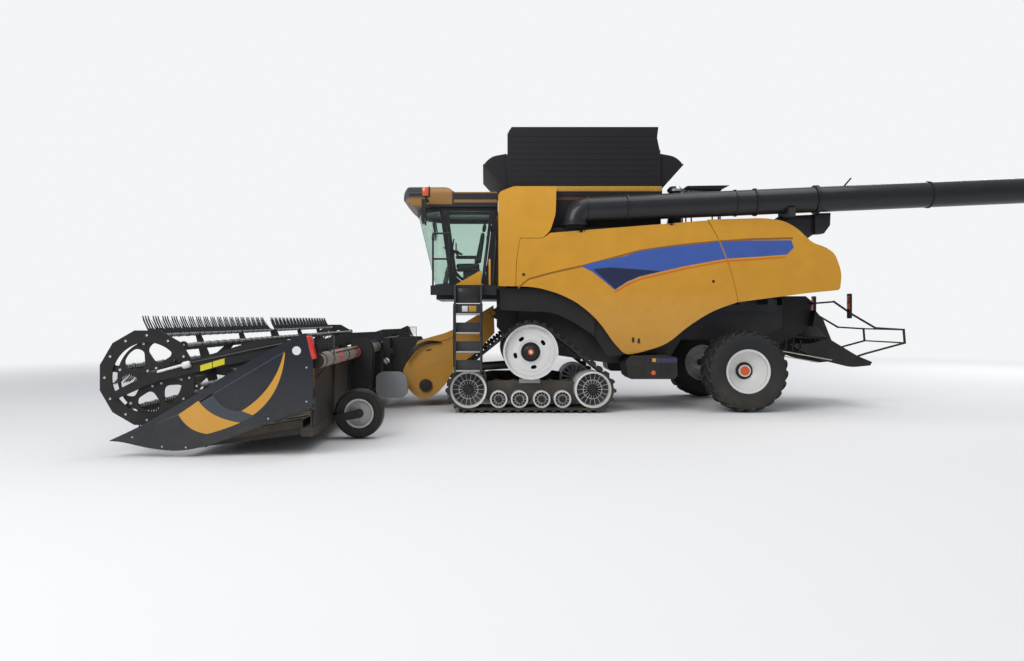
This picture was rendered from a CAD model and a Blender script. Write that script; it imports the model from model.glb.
"""A combine harvester on rubber tracks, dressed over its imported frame.

Metres throughout, +X forward, +Y the driver's left, +Z up. Places along the
machine are given from the front axle, and place() carries them into the frame.
"""

import math
from contextlib import contextmanager

import bpy
from mathutils import Matrix, Vector


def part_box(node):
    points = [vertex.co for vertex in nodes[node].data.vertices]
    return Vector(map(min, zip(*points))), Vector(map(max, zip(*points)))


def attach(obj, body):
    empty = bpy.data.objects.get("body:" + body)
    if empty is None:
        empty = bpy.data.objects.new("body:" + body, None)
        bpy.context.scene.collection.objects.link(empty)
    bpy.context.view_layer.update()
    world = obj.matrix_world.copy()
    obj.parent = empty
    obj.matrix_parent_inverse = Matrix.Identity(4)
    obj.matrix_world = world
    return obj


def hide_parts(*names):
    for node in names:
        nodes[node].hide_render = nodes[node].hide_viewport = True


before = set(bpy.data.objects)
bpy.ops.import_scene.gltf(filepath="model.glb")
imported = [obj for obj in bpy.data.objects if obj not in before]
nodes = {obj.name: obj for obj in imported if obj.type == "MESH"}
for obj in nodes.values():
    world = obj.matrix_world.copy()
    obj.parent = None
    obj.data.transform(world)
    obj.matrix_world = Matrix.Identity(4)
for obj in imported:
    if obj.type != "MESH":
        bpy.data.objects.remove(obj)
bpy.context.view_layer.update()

# Floor and backdrop: a pale studio floor that keeps the machine's shadow and
# runs out into a white surround. Both read as plain near-white to the camera.
SURROUND_WHITE = (0.9, 0.91, 0.92, 1.0)
SKY_LIGHT = (0.86, 0.9, 1.0, 1.0)
SKY_STRENGTH = 0.45
FLOOR_PALE = (0.80, 0.80, 0.79, 1.0)
FLOOR_HALF = 60.0
FLOOR_DROP = 0.002
WHITE_FROM, WHITE_BY = 11.0, 26.0


def feed(tree, receiver, feeds):
    """Gives a node's inputs their sockets or plain values."""
    for entry, value in feeds.items():
        if isinstance(value, bpy.types.NodeSocket):
            tree.links.new(value, receiver.inputs[entry])
        else:
            receiver.inputs[entry].default_value = value


def wired(tree, kind, feeds, **settings):
    """A shader node of a kind with its settings made and its inputs fed."""
    made = tree.nodes.new("ShaderNode" + kind)
    for setting, value in settings.items():
        setattr(made, setting, value)
    feed(tree, made, feeds)
    return made


def math_node(tree, operation, *values, clamp=False):
    """The result of a Math node fed with sockets or plain numbers."""
    return wired(tree, "Math", dict(enumerate(values)), operation=operation, use_clamp=clamp).outputs[0]


def seen_rays(tree):
    """A mask that is 1 for what the camera sees, straight or through glass."""
    rays = wired(tree, "LightPath", {}).outputs
    return math_node(tree, "MAXIMUM", rays["Is Camera Ray"], rays["Is Transmission Ray"])


def new_material(name):
    """An empty node material with a Principled shader wired to its output."""
    made = bpy.data.materials.new(name)
    made.use_nodes = True
    tree = made.node_tree
    tree.nodes.clear()
    shader = wired(tree, "BsdfPrincipled", {})
    wired(tree, "OutputMaterial", {"Surface": shader.outputs["BSDF"]})
    return made, tree, shader


def select_only(piece):
    """Leaves one object selected and active, in object mode."""
    if bpy.context.object and bpy.context.object.mode != "OBJECT":
        bpy.ops.object.mode_set(mode="OBJECT")
    bpy.ops.object.select_all(action="DESELECT")
    piece.select_set(True)
    bpy.context.view_layer.objects.active = piece


floor_finish, floor_tree, floor_shader = new_material("floor_finish")
feed(floor_tree, floor_shader, {"Base Color": FLOOR_PALE, "Roughness": 0.85})
floor_place = wired(floor_tree, "TexCoord", {}).outputs["Object"]
floor_reach = wired(floor_tree, "VectorMath", {0: floor_place}, operation="LENGTH")
far_share = wired(floor_tree, "MapRange", {
    "Value": floor_reach.outputs["Value"], "From Min": WHITE_FROM, "From Max": WHITE_BY},
    interpolation_type="SMOOTHSTEP")
far_white = wired(floor_tree, "Emission", {"Color": SURROUND_WHITE})
floor_mix = wired(floor_tree, "MixShader", {
    "Fac": math_node(floor_tree, "MULTIPLY", far_share.outputs["Result"], seen_rays(floor_tree)),
    1: floor_shader.outputs["BSDF"], 2: far_white.outputs["Emission"]})
feed(floor_tree, floor_tree.get_output_node("ALL"), {"Surface": floor_mix.outputs["Shader"]})
bpy.ops.object.select_all(action="DESELECT")
bpy.ops.mesh.primitive_plane_add(size=2 * FLOOR_HALF, location=(0, 0, -FLOOR_DROP))
floor = bpy.context.object
floor.name = "studio_floor"
bpy.ops.object.transform_apply(location=True, rotation=True, scale=True)
floor.data.materials.append(floor_finish)

surround = bpy.data.worlds.new("studio_surround")
surround.use_nodes = True
world_tree = surround.node_tree
world_tree.nodes.clear()
lit_sky = wired(world_tree, "Background", {"Color": SKY_LIGHT, "Strength": SKY_STRENGTH})
seen_sky = wired(world_tree, "Background", {"Color": SURROUND_WHITE, "Strength": 1.0})
sky_mix = wired(world_tree, "MixShader", {
    "Fac": seen_rays(world_tree), 1: lit_sky.outputs["Background"], 2: seen_sky.outputs["Background"]})
wired(world_tree, "OutputWorld", {"Surface": sky_mix.outputs["Shader"]})
bpy.context.scene.world = surround

# Studio lamps: a broad soft key ahead of the machine's left side, a wide top
# light, and a weaker fill behind, as under the photograph's bright cloud.
LAMPS = (
    # name, place, aim, size, power in watts
    ("key_lamp", (12.0, 16.0, 13.0), (2.0, 0.0, 1.5), 12.0, 2250.0),
    ("top_lamp", (-2.0, 2.0, 17.0), (-2.0, 0.0, 0.0), 14.0, 1200.0),
    ("rear_lamp", (-16.0, -12.0, 10.0), (-2.0, 0.0, 1.5), 10.0, 1300.0),
)
for lamp_name, lamp_place, lamp_aim, lamp_size, lamp_power in LAMPS:
    lamp_data = bpy.data.lights.new(lamp_name, "AREA")
    lamp_data.size = lamp_size
    lamp_data.energy = lamp_power
    lamp = bpy.data.objects.new(lamp_name, lamp_data)
    lamp.location = lamp_place
    towards = Vector(lamp_aim) - Vector(lamp_place)
    lamp.rotation_euler = towards.to_track_quat("-Z", "Y").to_euler()
    bpy.context.scene.collection.objects.link(lamp)

# Camera: level, square to the machine's left side, at a standing person's eye
# height. The picture is a little off centre, which the two small shifts give.
PICTURE_W = 1024
FOCAL_PX = 790.0
VANISHING_PX = (485.0, 320.0)
PICTURE_MIDDLE_PX = (512.0, 330.5)
CAMERA_PLACE = (0.80, 15.5, 1.62)

left_belt_low, left_belt_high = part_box("belt_left")
AXLE_X = (left_belt_low[0] + left_belt_high[0]) / 2


def place(x, y, z):
    """A point given from the front axle, carried into the frame."""
    return Vector((AXLE_X + x, y, z))


camera_data = bpy.data.cameras.new("photo_camera")
camera_data.sensor_width = 36.0
camera_data.lens = FOCAL_PX / PICTURE_W * camera_data.sensor_width
camera_data.shift_x = (PICTURE_MIDDLE_PX[0] - VANISHING_PX[0]) / PICTURE_W
camera_data.shift_y = (VANISHING_PX[1] - PICTURE_MIDDLE_PX[1]) / PICTURE_W
camera = bpy.data.objects.new("photo_camera", camera_data)
camera.location = place(*CAMERA_PLACE)
camera.rotation_euler = (math.radians(90), 0, math.radians(180))
bpy.context.scene.collection.objects.link(camera)
bpy.context.scene.camera = camera
bpy.context.scene.view_settings.view_transform = "Standard"

# Frame, axles and threshing body: welded and bolted steel under satin
# near-black paint. Field dust lies on the ledges and thickens towards the
# ground, so one group of nodes carries it into every finish on the machine.
FIELD_DUST = (0.30, 0.235, 0.15, 1.0)
DUSTY_ROUGHNESS = 0.92
COAT_ROUGHNESS = 0.08
SHEEN = 0.32


def new_group(name, inputs, outputs):
    """An empty shader node group, the sockets it is fed by, and its end node."""
    group = bpy.data.node_groups.new(name, "ShaderNodeTree")
    for socket_name, kind, value in inputs:
        socket = group.interface.new_socket(socket_name, in_out="INPUT", socket_type="NodeSocket" + kind)
        if value is not None:
            socket.default_value = value
    for socket_name, kind in outputs:
        group.interface.new_socket(socket_name, in_out="OUTPUT", socket_type="NodeSocket" + kind)
    return group, group.nodes.new("NodeGroupInput").outputs, group.nodes.new("NodeGroupOutput")


def colour_mix(tree, share, first, second):
    """A colour between two sockets or plain colours."""
    return wired(tree, "Mix", {0: share, 6: first, 7: second}, data_type="RGBA").outputs[2]


# Dust falls off with height, settles on ledges, and lies in patches and specks.
dust_group, dust_in, dust_out = new_group(
    "field_dust",
    (("Vector", "Vector", None), ("Paint", "Color", (0.5, 0.5, 0.5, 1)), ("Dust", "Color", FIELD_DUST),
     ("Amount", "Float", 0.4), ("Low", "Float", 0.2), ("High", "Float", 2.4), ("Roughness", "Float", 0.4)),
    (("Color", "Color"), ("Roughness", "Float"), ("Mask", "Float")))
dust_height = wired(dust_group, "SeparateXYZ", {0: dust_in["Vector"]}).outputs["Z"]
dust_fall = wired(dust_group, "MapRange", {
    "Value": dust_height, "From Min": dust_in["Low"], "From Max": dust_in["High"],
    "To Min": 1.0, "To Max": 0.0}).outputs[0]
dust_cloud = wired(dust_group, "TexNoise", {
    "Vector": dust_in["Vector"], "Scale": 2.6, "Detail": 6.0, "Roughness": 0.62}).outputs["Fac"]
dust_speck = wired(dust_group, "TexNoise", {
    "Vector": dust_in["Vector"], "Scale": 48.0, "Detail": 3.0}).outputs["Fac"]
face_normal = wired(dust_group, "NewGeometry", {}).outputs["Normal"]
face_up = wired(dust_group, "SeparateXYZ", {0: face_normal}).outputs["Z"]
dust_ledge = math_node(dust_group, "MULTIPLY", face_up, 0.55, clamp=True)
dust_sum = math_node(dust_group, "ADD", dust_fall, dust_ledge)
dust_patch = math_node(dust_group, "MULTIPLY_ADD", dust_cloud, 2.1, -0.5)
dust_fine = math_node(dust_group, "MULTIPLY_ADD", dust_speck, 1.2, 0.35)
dust_mask = dust_sum
for dust_factor in (dust_patch, dust_fine, dust_in["Amount"]):
    dust_mask = math_node(dust_group, "MULTIPLY", dust_mask, dust_factor, clamp=True)
dust_tone = math_node(dust_group, "MULTIPLY_ADD", dust_cloud, 0.3, 0.85)
dust_shade = wired(dust_group, "VectorMath", {0: dust_in["Paint"], "Scale": dust_tone}, operation="SCALE")
feed(dust_group, dust_out, {
    "Color": colour_mix(dust_group, dust_mask, dust_shade.outputs[0], dust_in["Dust"]),
    "Roughness": wired(dust_group, "Mix", {
        0: dust_mask, 2: dust_in["Roughness"], 3: DUSTY_ROUGHNESS}).outputs[0],
    "Mask": dust_mask})

# Surface grain, in metres of real relief: a coarse wave and a fine tooth.
grain_group, grain_in, grain_out = new_group(
    "surface_grain",
    (("Vector", "Vector", None), ("Coarse Scale", "Float", 8.0), ("Fine Scale", "Float", 220.0),
     ("Fine Part", "Float", 0.4)),
    (("Height", "Float"),))
coarse_wave, fine_tooth = [
    wired(grain_group, "TexNoise", {
        "Vector": grain_in["Vector"], "Scale": grain_in[scale], "Detail": detail}).outputs["Fac"]
    for scale, detail in (("Coarse Scale", 4.0), ("Fine Scale", 2.0))]
feed(grain_group, grain_out, {"Height": wired(grain_group, "Mix", {
    0: grain_in["Fine Part"], 2: coarse_wave, 3: fine_tooth}).outputs[0]})


def finish(name, paint, roughness, dust=0.4, dust_high=2.4, metallic=0.0, coat=0.0,
           grain=(8.0, 220.0, 0.4), relief=0.0006):
    """A painted, moulded or bare finish with its grain, tone and field dust.

    paint is a plain colour; grain holds the coarse scale, the fine scale and the
    fine part's share, and relief is the height of the grain in metres.
    """
    made, tree, shader = new_material(name)
    where = wired(tree, "TexCoord", {}).outputs["Object"]
    dusting = wired(tree, "Group", {
        "Vector": where, "Paint": (*paint, 1.0), "Amount": dust, "High": dust_high,
        "Roughness": roughness}, node_tree=dust_group)
    graining = wired(tree, "Group", {
        "Vector": where, "Coarse Scale": grain[0], "Fine Scale": grain[1],
        "Fine Part": grain[2]}, node_tree=grain_group)
    bump = wired(tree, "Bump", {"Height": graining.outputs["Height"], "Strength": 1.0, "Distance": relief})
    feed(tree, shader, {
        "Base Color": dusting.outputs["Color"], "Roughness": dusting.outputs["Roughness"],
        "Normal": bump.outputs["Normal"], "Metallic": metallic, "Coat Weight": coat,
        "Coat Roughness": COAT_ROUGHNESS, "Specular IOR Level": SHEEN})
    return made


def dress(material, *node_names):
    """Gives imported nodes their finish, in every material slot they have."""
    for node_name in node_names:
        mesh = nodes[node_name].data
        if not mesh.materials:
            mesh.materials.append(material)
        for index in range(len(mesh.materials)):
            mesh.materials[index] = material


frame_paint = finish("frame_paint", (0.028, 0.03, 0.035), 0.42, dust=0.3, dust_high=2.0,
                     grain=(5.0, 160.0, 0.5), relief=0.0008)
dress(frame_paint, "chassis", "front_axle", "rear_axle", "threshing_body", "knuckle_left", "knuckle_right",
      "lift_barrels")
engine_iron = finish("engine_iron", (0.11, 0.11, 0.115), 0.6, dust=0.5, metallic=0.4,
                     grain=(18.0, 300.0, 0.6), relief=0.0012)
dress(engine_iron, "engine_block")
rod_chrome = finish("rod_chrome", (0.62, 0.63, 0.64), 0.18, dust=0.15, metallic=1.0,
                    grain=(2.0, 90.0, 0.3), relief=0.0001)
dress(rod_chrome, "lift_rods")

# Tracks: each is one rubber belt round a white pressed drive wheel, two
# spoked end wheels and four rollers. The belt's side is moulded black rubber,
# the wheels are cast and painted, with black hubs bolted on.
END_WHEEL_X = 1.09
END_WHEEL_Z = 0.40
ROLLER_X = (-0.56, -0.195, 0.195, 0.56)
ROLLER_Z = 0.23
SPOKES_OUT = 1.61
SPOKE_DEPTH = 0.009
SPOKE_SHARE = 0.8
RING_DEPTH = 0.012
RIM_INSET = 0.008
DRIVE_CENTRE = (0, 1.626, 1.06)
MERGE_WITHIN = 0.00005
NUT_CHAMFER = 0.15
ACROSS = Matrix.Scale(-1, 4, Vector((0, 1, 0)))


@contextmanager
def editing(piece):
    """Edit mode on one piece, with all of it selected."""
    select_only(piece)
    bpy.ops.object.mode_set(mode="EDIT")
    bpy.ops.mesh.select_all(action="SELECT")
    yield
    bpy.ops.object.mode_set(mode="OBJECT")


def added():
    """The primitive just added, with its place carried into its mesh."""
    bpy.ops.object.transform_apply(location=True, rotation=True, scale=True)
    return bpy.context.object


def modified(piece, kind, **settings):
    """A piece with one modifier set and applied."""
    select_only(piece)
    change = piece.modifiers.new(kind.lower(), kind)
    for setting, value in settings.items():
        setattr(change, setting, value)
    bpy.ops.object.modifier_apply(modifier=change.name)
    return piece


def rounded(piece, width, segments=2):
    """Bevels every sharp edge of a piece by a width."""
    return modified(piece, "BEVEL", width=width, segments=segments, limit_method="ANGLE")


def tidy_shell(piece):
    """Merges doubles and turns every face outwards."""
    with editing(piece):
        bpy.ops.mesh.remove_doubles(threshold=MERGE_WITHIN)
        bpy.ops.mesh.normals_make_consistent(inside=False)
    return piece


def closed_line(points, fill):
    """A circle whose corners are moved to points of the frame, open or filled."""
    bpy.ops.object.select_all(action="DESELECT")
    bpy.ops.mesh.primitive_circle_add(vertices=len(points), fill_type=fill)
    piece = added()
    for vertex, point in zip(piece.data.vertices, points):
        vertex.co = point
    return piece


def block(low, high, round_by=0.004):
    """A box between two corners given from the front axle, with round edges."""
    low, high = place(*low), place(*high)
    bpy.ops.object.select_all(action="DESELECT")
    bpy.ops.mesh.primitive_cube_add(size=1, location=(low + high) / 2, scale=high - low)
    return rounded(added(), round_by)


def plate(outline, y0, y1, round_by=0.0):
    """A plate cut to a side outline of (x, z) points, from y0 to y1."""
    piece = closed_line([place(x, y0, z) for x, z in outline], "NGON")
    with editing(piece):
        bpy.ops.mesh.extrude_region_move(TRANSFORM_OT_translate={"value": (0, y1 - y0, 0)})
    tidy_shell(piece)
    return rounded(piece, round_by) if round_by else piece


def turned(profile, centre, axis=(0, 1, 0), steps=48):
    """A part turned on a lathe: a closed profile of (radius, along) spun about an axis."""
    along = Vector(axis).normalized()
    out = along.orthogonal().normalized()
    middle = place(*centre)
    piece = closed_line([middle + out * radius + along * reach for radius, reach in profile], "NOTHING")
    with editing(piece):
        bpy.ops.mesh.spin(steps=steps, angle=math.tau, center=middle, axis=along)
    return tidy_shell(piece)


def sleeve(inner, outer, start, end, centre, axis=(0, 1, 0), steps=48):
    """A plain tube or ring between two radii, from start to end along its axis."""
    return turned(((inner, start), (outer, start), (outer, end), (inner, end)), centre, axis, steps)


def moved_copy(piece, matrix):
    """A copy of a piece with its own mesh, moved by a matrix."""
    twin = piece.copy()
    twin.data = piece.data.copy()
    twin.data.transform(matrix)
    if matrix.determinant() < 0:
        twin.data.flip_normals()
    bpy.context.scene.collection.objects.link(twin)
    return twin


def joined(parts):
    """One part as it is, or a list of parts joined into one."""
    if not isinstance(parts, list):
        return parts
    select_only(parts[0])
    for part in parts[1:]:
        part.select_set(True)
    bpy.ops.object.join()
    return parts[0]


def round_about(piece, count, centre, axis=(0, 1, 0)):
    """A piece and its copies at equal angles round an axis, joined."""
    middle = Matrix.Translation(place(*centre))
    copies = [piece]
    for index in range(1, count):
        turn = Matrix.Rotation(index * math.tau / count, 4, Vector(axis))
        copies.append(moved_copy(piece, middle @ turn @ middle.inverted()))
    return joined(copies)


def settle(name, parts, body, slot_name, material, *replaced, smooth=40.0):
    """Joins a piece and gives it its name, material, slot, body and the nodes it stands for."""
    piece = joined(parts)
    piece.name = name
    select_only(piece)
    piece.data.materials.clear()
    piece.data.materials.append(material)
    bpy.ops.object.shade_smooth_by_angle(angle=math.radians(smooth))
    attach(piece, body)
    if replaced:
        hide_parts(*replaced)
    return piece


def settle_pair(name, parts, bodies, slot_name, material, *replaced):
    """Settles a piece on the left and its mirror image on the right.

    bodies is one body for both or a pair; replaced holds pairs of nodes.
    """
    left_body, right_body = (bodies, bodies) if isinstance(bodies, str) else bodies
    piece = joined(parts)
    twin = moved_copy(piece, ACROSS)
    settle(name + "_left", piece, left_body, slot_name, material, *[pair[0] for pair in replaced])
    settle(name + "_right", twin, right_body, slot_name, material, *[pair[1] for pair in replaced])


def hex_nuts(count, ring, size, depth, centre, axis=(0, 1, 0)):
    """A ring of six-sided nuts on a face, their centres on a ring radius."""
    along = Vector(axis).normalized()
    nut_at = Vector(centre) + along.orthogonal().normalized() * ring + along * depth / 2
    bpy.ops.object.select_all(action="DESELECT")
    bpy.ops.mesh.primitive_cylinder_add(
        vertices=6, radius=size, depth=depth, location=place(*nut_at),
        rotation=along.to_track_quat("Z", "Y").to_euler())
    return round_about(rounded(added(), size * NUT_CHAMFER, segments=1), count, centre, axis)


def bolts(points, size=0.012, depth=0.01):
    """Single six-sided bolt heads that stand out to the left."""
    return [hex_nuts(1, 0.0, size, depth, point) for point in points]


track_rubber = finish("track_rubber", (0.017, 0.017, 0.018), 0.72, dust=0.2, dust_high=1.3,
                      grain=(14.0, 320.0, 0.6), relief=0.0012)
wheel_paint = finish("wheel_paint", (0.72, 0.72, 0.70), 0.38, dust=0.14, dust_high=1.4, coat=0.15,
                     grain=(6.0, 180.0, 0.3), relief=0.0004)
spoke_paint = finish("spoke_paint", (0.46, 0.47, 0.47), 0.45, dust=0.35, dust_high=1.2,
                     grain=(9.0, 200.0, 0.4))
hub_black = finish("hub_black", (0.012, 0.012, 0.014), 0.4, dust=0.1, dust_high=1.6,
                   grain=(20.0, 260.0, 0.5), relief=0.0005)
cap_orange = finish("cap_orange", (0.72, 0.10, 0.015), 0.35, dust=0.2, coat=0.2, relief=0.0002)
dress(track_rubber, "belt_left", "belt_right")
dress(wheel_paint, "track_wheels_left", "track_wheels_right")
dress(frame_paint, "track_frame_left", "track_frame_right")


def spoked_face(centre, outer, middle, wide, foot, spokes):
    """The outer face of an end wheel or roller: two rings of a half width, joined by spokes."""
    x, y, z = centre
    outer -= RIM_INSET
    rings = [sleeve(r - wide, r + wide, 0, RING_DEPTH, centre) for r in (outer, middle)]
    thick = wide * SPOKE_SHARE
    spoke = block((x + foot, y, z - thick), (x + outer, y + SPOKE_DEPTH, z + thick), 0.002)
    return joined(rings + [round_about(spoke, spokes, centre)])


END_HUB = ((0, 0), (0, 0.108), (0.045, 0.105), (0.05, 0.09), (0.078, 0.085), (0.084, 0.02), (0.1, 0.0))
ROLLER_HUB = ((0, 0), (0, 0.07), (0.03, 0.066), (0.044, 0.05), (0.05, 0.0))
TRACK_WHEELS = (
    # centres along, height, face radius, middle ring, rings' half width, spoke foot, spokes,
    # dish radius, dish lip, hub profile
    ((-END_WHEEL_X, END_WHEEL_X), END_WHEEL_Z, 0.292, 0.165, 0.006, 0.07, 18, 0.28, 0.288, END_HUB),
    (ROLLER_X, ROLLER_Z, 0.134, 0.075, 0.005, 0.04, 12, 0.125, 0.128, ROLLER_HUB),
)
faces, dishes, hubs = [], [], []
for centres, z, outer, middle, wide, foot, spokes, dish, lip, hub_profile in TRACK_WHEELS:
    for x in centres:
        centre = (x, SPOKES_OUT, z)
        faces.append(spoked_face(centre, outer, middle, wide, foot, spokes))
        dishes.append(turned(((0, -0.008), (0, 0.0), (dish, -0.002), (lip, 0.004), (lip, -0.008)), centre))
        hubs.append(turned(hub_profile, centre))
        if hub_profile is END_HUB:
            hubs.append(hex_nuts(8, 0.064, 0.008, 0.012, (x, SPOKES_OUT + 0.086, z)))
settle_pair("spoked_faces", faces, "root", "wheel_paint", spoke_paint)
settle_pair("wheel_dishes", dishes, "root", "wheel_black", hub_black)
settle_pair("wheel_hubs", hubs, "root", "wheel_black", hub_black)

# Drive wheel: pressed beads in the white disc, a black hub ring with its
# bolts, and an orange grease cap with a white middle. A small bolted plate
# stands on the track frame's beam below it.
beads = [turned(((r - 0.012, -0.002), (r - 0.006, 0.008), (r + 0.006, 0.008), (r + 0.012, -0.002)),
                DRIVE_CENTRE, steps=72) for r in (0.215, 0.335, 0.412)]
settle_pair("drive_beads", beads, "root", "wheel_paint", wheel_paint)
drive_hub = turned(((0, 0.0), (0, 0.105), (0.062, 0.105), (0.094, 0.07), (0.124, 0.066), (0.13, 0.016),
                    (0.168, 0.018), (0.172, -0.002)), DRIVE_CENTRE, steps=72)
drive_bolts = hex_nuts(14, 0.148, 0.009, 0.014, (0, DRIVE_CENTRE[1] + 0.017, DRIVE_CENTRE[2]))
settle_pair("drive_hub", [drive_hub, drive_bolts], "root", "wheel_black", hub_black)
drive_cap = turned(((0, 0.104), (0, 0.121), (0.04, 0.119), (0.05, 0.112), (0.052, 0.104)), DRIVE_CENTRE)
settle_pair("drive_cap", drive_cap, "root", "wheel_paint", cap_orange)
cap_middle = turned(((0, 0.12), (0, 0.124), (0.022, 0.1225), (0.024, 0.12)), DRIVE_CENTRE)
settle_pair("drive_cap_middle", cap_middle, "root", "wheel_paint", wheel_paint)
beam_plate = block((-0.175, 1.458, 0.50), (0.19, 1.47, 0.578), 0.003)
beam_bolts = bolts([(x, 1.47, 0.54) for x in (-0.14, 0.0, 0.15)], depth=0.012)
settle_pair("beam_plate", [beam_plate] + beam_bolts, "root", "wheel_paint", spoke_paint)

# Rear wheels: wide steered field tyres with curved bars in two staggered rows,
# moulded in one with the carcass, on white dished rims with a nut ring.
REAR_WHEEL = (-3.8, 1.44, 0.72)
REAR_BODIES = ("rear_wheel_left", "rear_wheel_right")
TYRE_RADIUS = 0.717
TYRE_HALF = 0.305
RIM_RADIUS = 0.376
BAR_COUNT = 22
BAR_HEIGHT = 0.030
BAR_SUNK = 0.014
BAR_START = 0.012
BAR_SWEEP = -0.30
BAR_FOOT_HALF = 0.021
BAR_FLARE = 0.008
CROWN_DROP = 0.012
SHOULDER_FROM, SHOULDER_SLOPE = 0.86, 0.42

tyre_rubber = finish("tyre_rubber", (0.02, 0.021, 0.022), 0.7, dust=0.14, dust_high=1.1,
                     grain=(16.0, 300.0, 0.6), relief=0.001)


def tyre_profile(half, crown):
    """A tyre's profile: one flank from its bead outwards, the crown, and the other flank."""
    return [(r, -across) for r, across in half] + [(crown, 0.0)] + [(r, across) for r, across in half[::-1]]


carcass = turned(tyre_profile((
    (RIM_RADIUS, 0.25), (0.40, 0.285), (0.47, 0.302), (0.56, 0.306), (0.62, 0.296), (0.664, 0.27),
    (0.682, 0.2), (0.688, 0.1)), 0.69), REAR_WHEEL, steps=96)
bead = turned(((0.405, 0.286), (0.408, 0.294), (0.432, 0.3), (0.436, 0.294)), REAR_WHEEL, steps=72)


def tyre_point(turn, across, radius):
    """A point of the rear tyre from its angle, its place across and its radius."""
    return place(REAR_WHEEL[0] + radius * math.cos(turn), REAR_WHEEL[1] + across,
                 REAR_WHEEL[2] + radius * math.sin(turn))


def tread_bar(side):
    """One curved bar from the tyre's middle out over its shoulder."""
    bpy.ops.object.select_all(action="DESELECT")
    bpy.ops.mesh.primitive_grid_add(x_subdivisions=8, y_subdivisions=2, size=2)
    piece = added()
    for vertex in piece.data.vertices:
        out = (vertex.co.x + 1) / 2
        wide = (BAR_FOOT_HALF + BAR_FLARE * out) * vertex.co.y
        reach = BAR_START + out * (TYRE_HALF - BAR_SUNK)
        crown = TYRE_RADIUS - CROWN_DROP * out ** 2 - max(0.0, out - SHOULDER_FROM) * SHOULDER_SLOPE
        vertex.co = tyre_point(BAR_SWEEP * out ** 1.6 + wide / crown, side * reach, crown)
    with editing(piece):
        bpy.ops.mesh.normals_make_consistent(inside=False)
    face = piece.data.polygons[0]
    if face.normal.dot(face.center - tyre_point(0, 0, 0)) < 0:
        piece.data.flip_normals()
    modified(piece, "SOLIDIFY", thickness=BAR_HEIGHT + BAR_SUNK, offset=-1)
    return rounded(piece, 0.005, segments=1)


tyre_middle = Matrix.Translation(place(*REAR_WHEEL))
half_step = tyre_middle @ Matrix.Rotation(math.pi / BAR_COUNT, 4, "Y") @ tyre_middle.inverted()
bars_out = round_about(tread_bar(1), BAR_COUNT, REAR_WHEEL)
bar_in = tread_bar(-1)
bar_in.data.transform(half_step)
bars_in = round_about(bar_in, BAR_COUNT, REAR_WHEEL)
settle_pair("rear_tyre_dressed", [carcass, bead, bars_out, bars_in], REAR_BODIES, "rubber", tyre_rubber,
            ("rear_tyre_left", "rear_tyre_right"))
dress(wheel_paint, "rear_rim_left", "rear_rim_right")
RIM_CENTRE = (REAR_WHEEL[0], REAR_WHEEL[1] + 0.022, REAR_WHEEL[2])
rim_ring = turned(((0.104, 0.0), (0.104, 0.012), (0.152, 0.01), (0.158, -0.004)), RIM_CENTRE, steps=64)
rim_nuts = hex_nuts(10, 0.13, 0.014, 0.024, (RIM_CENTRE[0], RIM_CENTRE[1] + 0.01, RIM_CENTRE[2]))
settle_pair("rear_hub_ring", [rim_ring, rim_nuts], REAR_BODIES, "wheel_black", hub_black)
rim_cap = turned(((0, 0.06), (0, 0.072), (0.05, 0.071), (0.082, 0.064), (0.09, 0.05), (0.09, 0.04),
                  (0.084, 0.04)), RIM_CENTRE, steps=64)
settle_pair("rear_hub_cap", rim_cap, REAR_BODIES, "wheel_paint", cap_orange)
rim_bead = turned(((0.352, 0.255), (0.352, 0.268), (0.386, 0.276), (0.392, 0.262), (0.378, 0.25)),
                  REAR_WHEEL, steps=96)
settle_pair("rear_rim_bead", rim_bead, REAR_BODIES, "wheel_paint", wheel_paint)

# Header's own folding wheels: small field tyres with a white ring, a grey
# dished disc with bolts and a black hub, turned with the nodes they dress.
HEADER_WHEEL = (2.52, 4.65, 0.345)
HEADER_BODIES = ("header_wheel_left", "header_wheel_right")
header_tyre = turned(tyre_profile((
    (0.202, 0.07), (0.215, 0.088), (0.26, 0.1), (0.3, 0.1), (0.322, 0.088), (0.331, 0.05)), 0.333),
    HEADER_WHEEL, steps=72)
tread_rings = [turned(((0.326, y - 0.006), (0.335, y - 0.004), (0.335, y + 0.004), (0.326, y + 0.006)),
                      HEADER_WHEEL, steps=72) for y in (-0.06, -0.02, 0.02, 0.06)]
settle_pair("header_tyre", [header_tyre] + tread_rings, HEADER_BODIES, "rubber", tyre_rubber)
header_ring = turned(((0.176, 0.052), (0.176, 0.062), (0.196, 0.07), (0.206, 0.074), (0.21, 0.064),
                      (0.2, 0.05)), HEADER_WHEEL, steps=64)
settle_pair("header_rim", header_ring, HEADER_BODIES, "wheel_paint", wheel_paint)
header_dish = turned(((0.06, 0.048), (0.06, 0.056), (0.1, 0.052), (0.15, 0.03), (0.176, 0.056), (0.18, 0.05),
                      (0.15, 0.02), (0.1, 0.042)), HEADER_WHEEL, steps=64)
dish_bolts = hex_nuts(8, 0.118, 0.009, 0.014, (HEADER_WHEEL[0], HEADER_WHEEL[1] + 0.048, HEADER_WHEEL[2]))
settle_pair("header_dish", [header_dish, dish_bolts], HEADER_BODIES, "wheel_paint", spoke_paint)
header_hub = turned(((0.0, 0.11), (0.0, 0.118), (0.04, 0.116), (0.056, 0.1), (0.062, 0.05), (0.02, 0.05)),
                    HEADER_WHEEL)
settle_pair("header_hub", header_hub, HEADER_BODIES, "wheel_black", hub_black)
dress(hub_black, "header_wheel_left", "header_wheel_right")

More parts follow.
